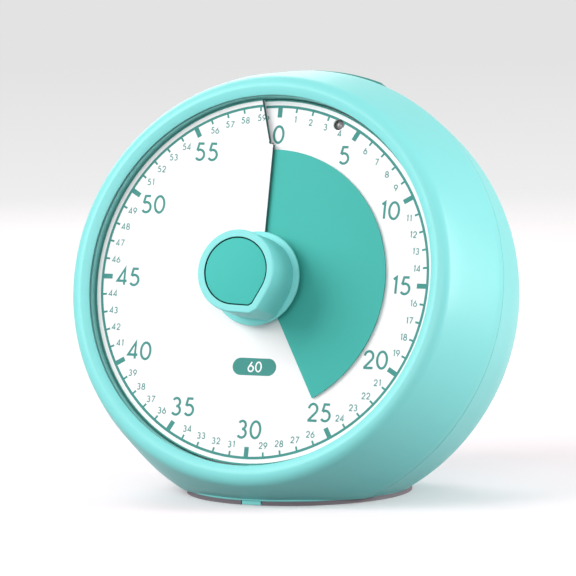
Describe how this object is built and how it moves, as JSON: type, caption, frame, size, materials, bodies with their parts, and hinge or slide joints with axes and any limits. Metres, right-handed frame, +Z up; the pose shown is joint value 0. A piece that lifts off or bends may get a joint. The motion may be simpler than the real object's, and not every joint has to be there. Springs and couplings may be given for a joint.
{
  "type": "visual countdown timer",
  "caption": "Round table timer on a low foot: white minute dial, coloured disc that slides out through a slit, nosed knob, top press bar and battery door.",
  "frame": {"origin": "centre of the foot's round resting face, on the table", "axes": "+Z up, the dial faces -Y and leans back 15 degrees, +X to the right of someone facing the dial"},
  "size_m": [0.1284, 0.0944, 0.1194],
  "materials": {
    "case_front": "matte, light teal",
    "case_rear": "matte, light teal",
    "dial_print": "satin white, printed",
    "ring": "matte, grey teal",
    "disc_teal": "satin, teal",
    "knob_shell": "matte, light teal",
    "inlay_teal": "satin, teal",
    "bar_teal": "matte, dark teal",
    "white_plastic": "matte",
    "black_plastic": "matte",
    "acetal": "satin",
    "pad_rubber": "matte",
    "zinc": "zinc plated",
    "shaft_steel": "turned",
    "brass_turned": "turned",
    "spring_steel": "spring temper",
    "nickel": "nickel plated",
    "board_green": "solder mask",
    "lamp_white": "clear, diffused",
    "copper": "enamelled wire",
    "cone": "fibre",
    "cell_wrap": "plain sleeve",
    "magnet": "ground"
  },
  "bodies": {
    "case": {"front_housing": "case_front", "rear_cover": "case_rear", "case_screws": "zinc", "dial_sheet": "dial_print", "inner_ring": "ring", "dial_plate": "white_plastic", "dial_screws": "zinc", "lamp": "lamp_white", "lamp_board": "board_green", "shaft_bushing": "brass_turned", "bushing_nut": "brass_turned", "movement_front": "white_plastic", "movement_back": "black_plastic", "movement_screws": "zinc", "stator": "magnet", "motor_coil": "copper", "alarm_contact": "spring_steel", "main_board": "board_green", "board_chips": "black_plastic", "board_screws": "zinc", "volume_switch": "nickel", "speaker": "cone", "speaker_gasket": "pad_rubber", "bar_board": "board_green", "bar_screws": "zinc", "tact_switch": "black_plastic", "base_plate": "white_plastic", "base_screws": "zinc", "battery_box": "white_plastic", "battery_cells": "cell_wrap", "contact_plates": "nickel", "contact_springs": "nickel", "foot_pad": "pad_rubber"},
    "knob": {"knob": "knob_shell", "knob_inlay": "inlay_teal", "knob_shaft": "shaft_steel", "clutch_spring": "spring_steel", "alarm_cam": "black_plastic", "shaft_clip": "spring_steel"},
    "disc": {"time_disc": "disc_teal", "disc_hub": "acetal"},
    "main_wheel": {"main_wheel": "acetal"},
    "second_wheel": {"second_wheel": "acetal"},
    "third_wheel": {"third_wheel": "acetal"},
    "rotor": {"rotor": "magnet"},
    "slider": {"volume_slider": "black_plastic"},
    "bar": {"press_bar": "bar_teal"},
    "door": {"battery_door": "case_front"}
  },
  "joints": [
    {"name": "knob_turn", "type": "hinge", "parent": "case", "child": "knob", "pos_m": [0, -0.0214, 0.0618], "axis": [0, 0.9659, -0.2588], "range_deg": [-150, 208]},
    {"name": "disc_ride", "type": "slide", "parent": "knob", "child": "disc", "axis": [0, -0.9659, 0.2588], "range_m": [-0.00083, 0.00116]},
    {"name": "rotor_spin", "type": "hinge", "parent": "case", "child": "rotor", "pos_m": [0.01051, -0.01365, 0.04435], "axis": [0, 0.9659, -0.2588], "continuous": true},
    {"name": "third_spin", "type": "hinge", "parent": "case", "child": "third_wheel", "pos_m": [-0.00142, -0.0142, 0.04231], "axis": [0, 0.9659, -0.2588], "continuous": true},
    {"name": "second_spin", "type": "hinge", "parent": "case", "child": "second_wheel", "pos_m": [-0.01281, -0.01312, 0.04632], "axis": [0, 0.9659, -0.2588], "continuous": true},
    {"name": "main_spin", "type": "hinge", "parent": "case", "child": "main_wheel", "pos_m": [0, -0.00305, 0.05688], "axis": [0, 0.9659, -0.2588], "continuous": true},
    {"name": "volume_slide", "type": "slide", "parent": "case", "child": "slider", "axis": [1, 0, 0], "range_m": [0, 0.005]},
    {"name": "bar_press", "type": "slide", "parent": "case", "child": "bar", "axis": [0, -0.2588, -0.9659], "range_m": [0, 0.0008], "stiffness_N_per_m": 600},
    {"name": "door_open", "type": "hinge", "parent": "case", "child": "door", "pos_m": [0, 0.0129, 0.001], "axis": [1, 0, 0], "range_deg": [0, 80]}
  ],
  "couplings": [
    {"joint": "disc_ride", "follows": "knob_turn", "m_per_rad": 0.00031831},
    {"joint": "third_spin", "follows": "rotor_spin", "ratio": -0.33333},
    {"joint": "second_spin", "follows": "rotor_spin", "ratio": 0.11111},
    {"joint": "main_spin", "follows": "rotor_spin", "ratio": -0.027778}
  ]
}
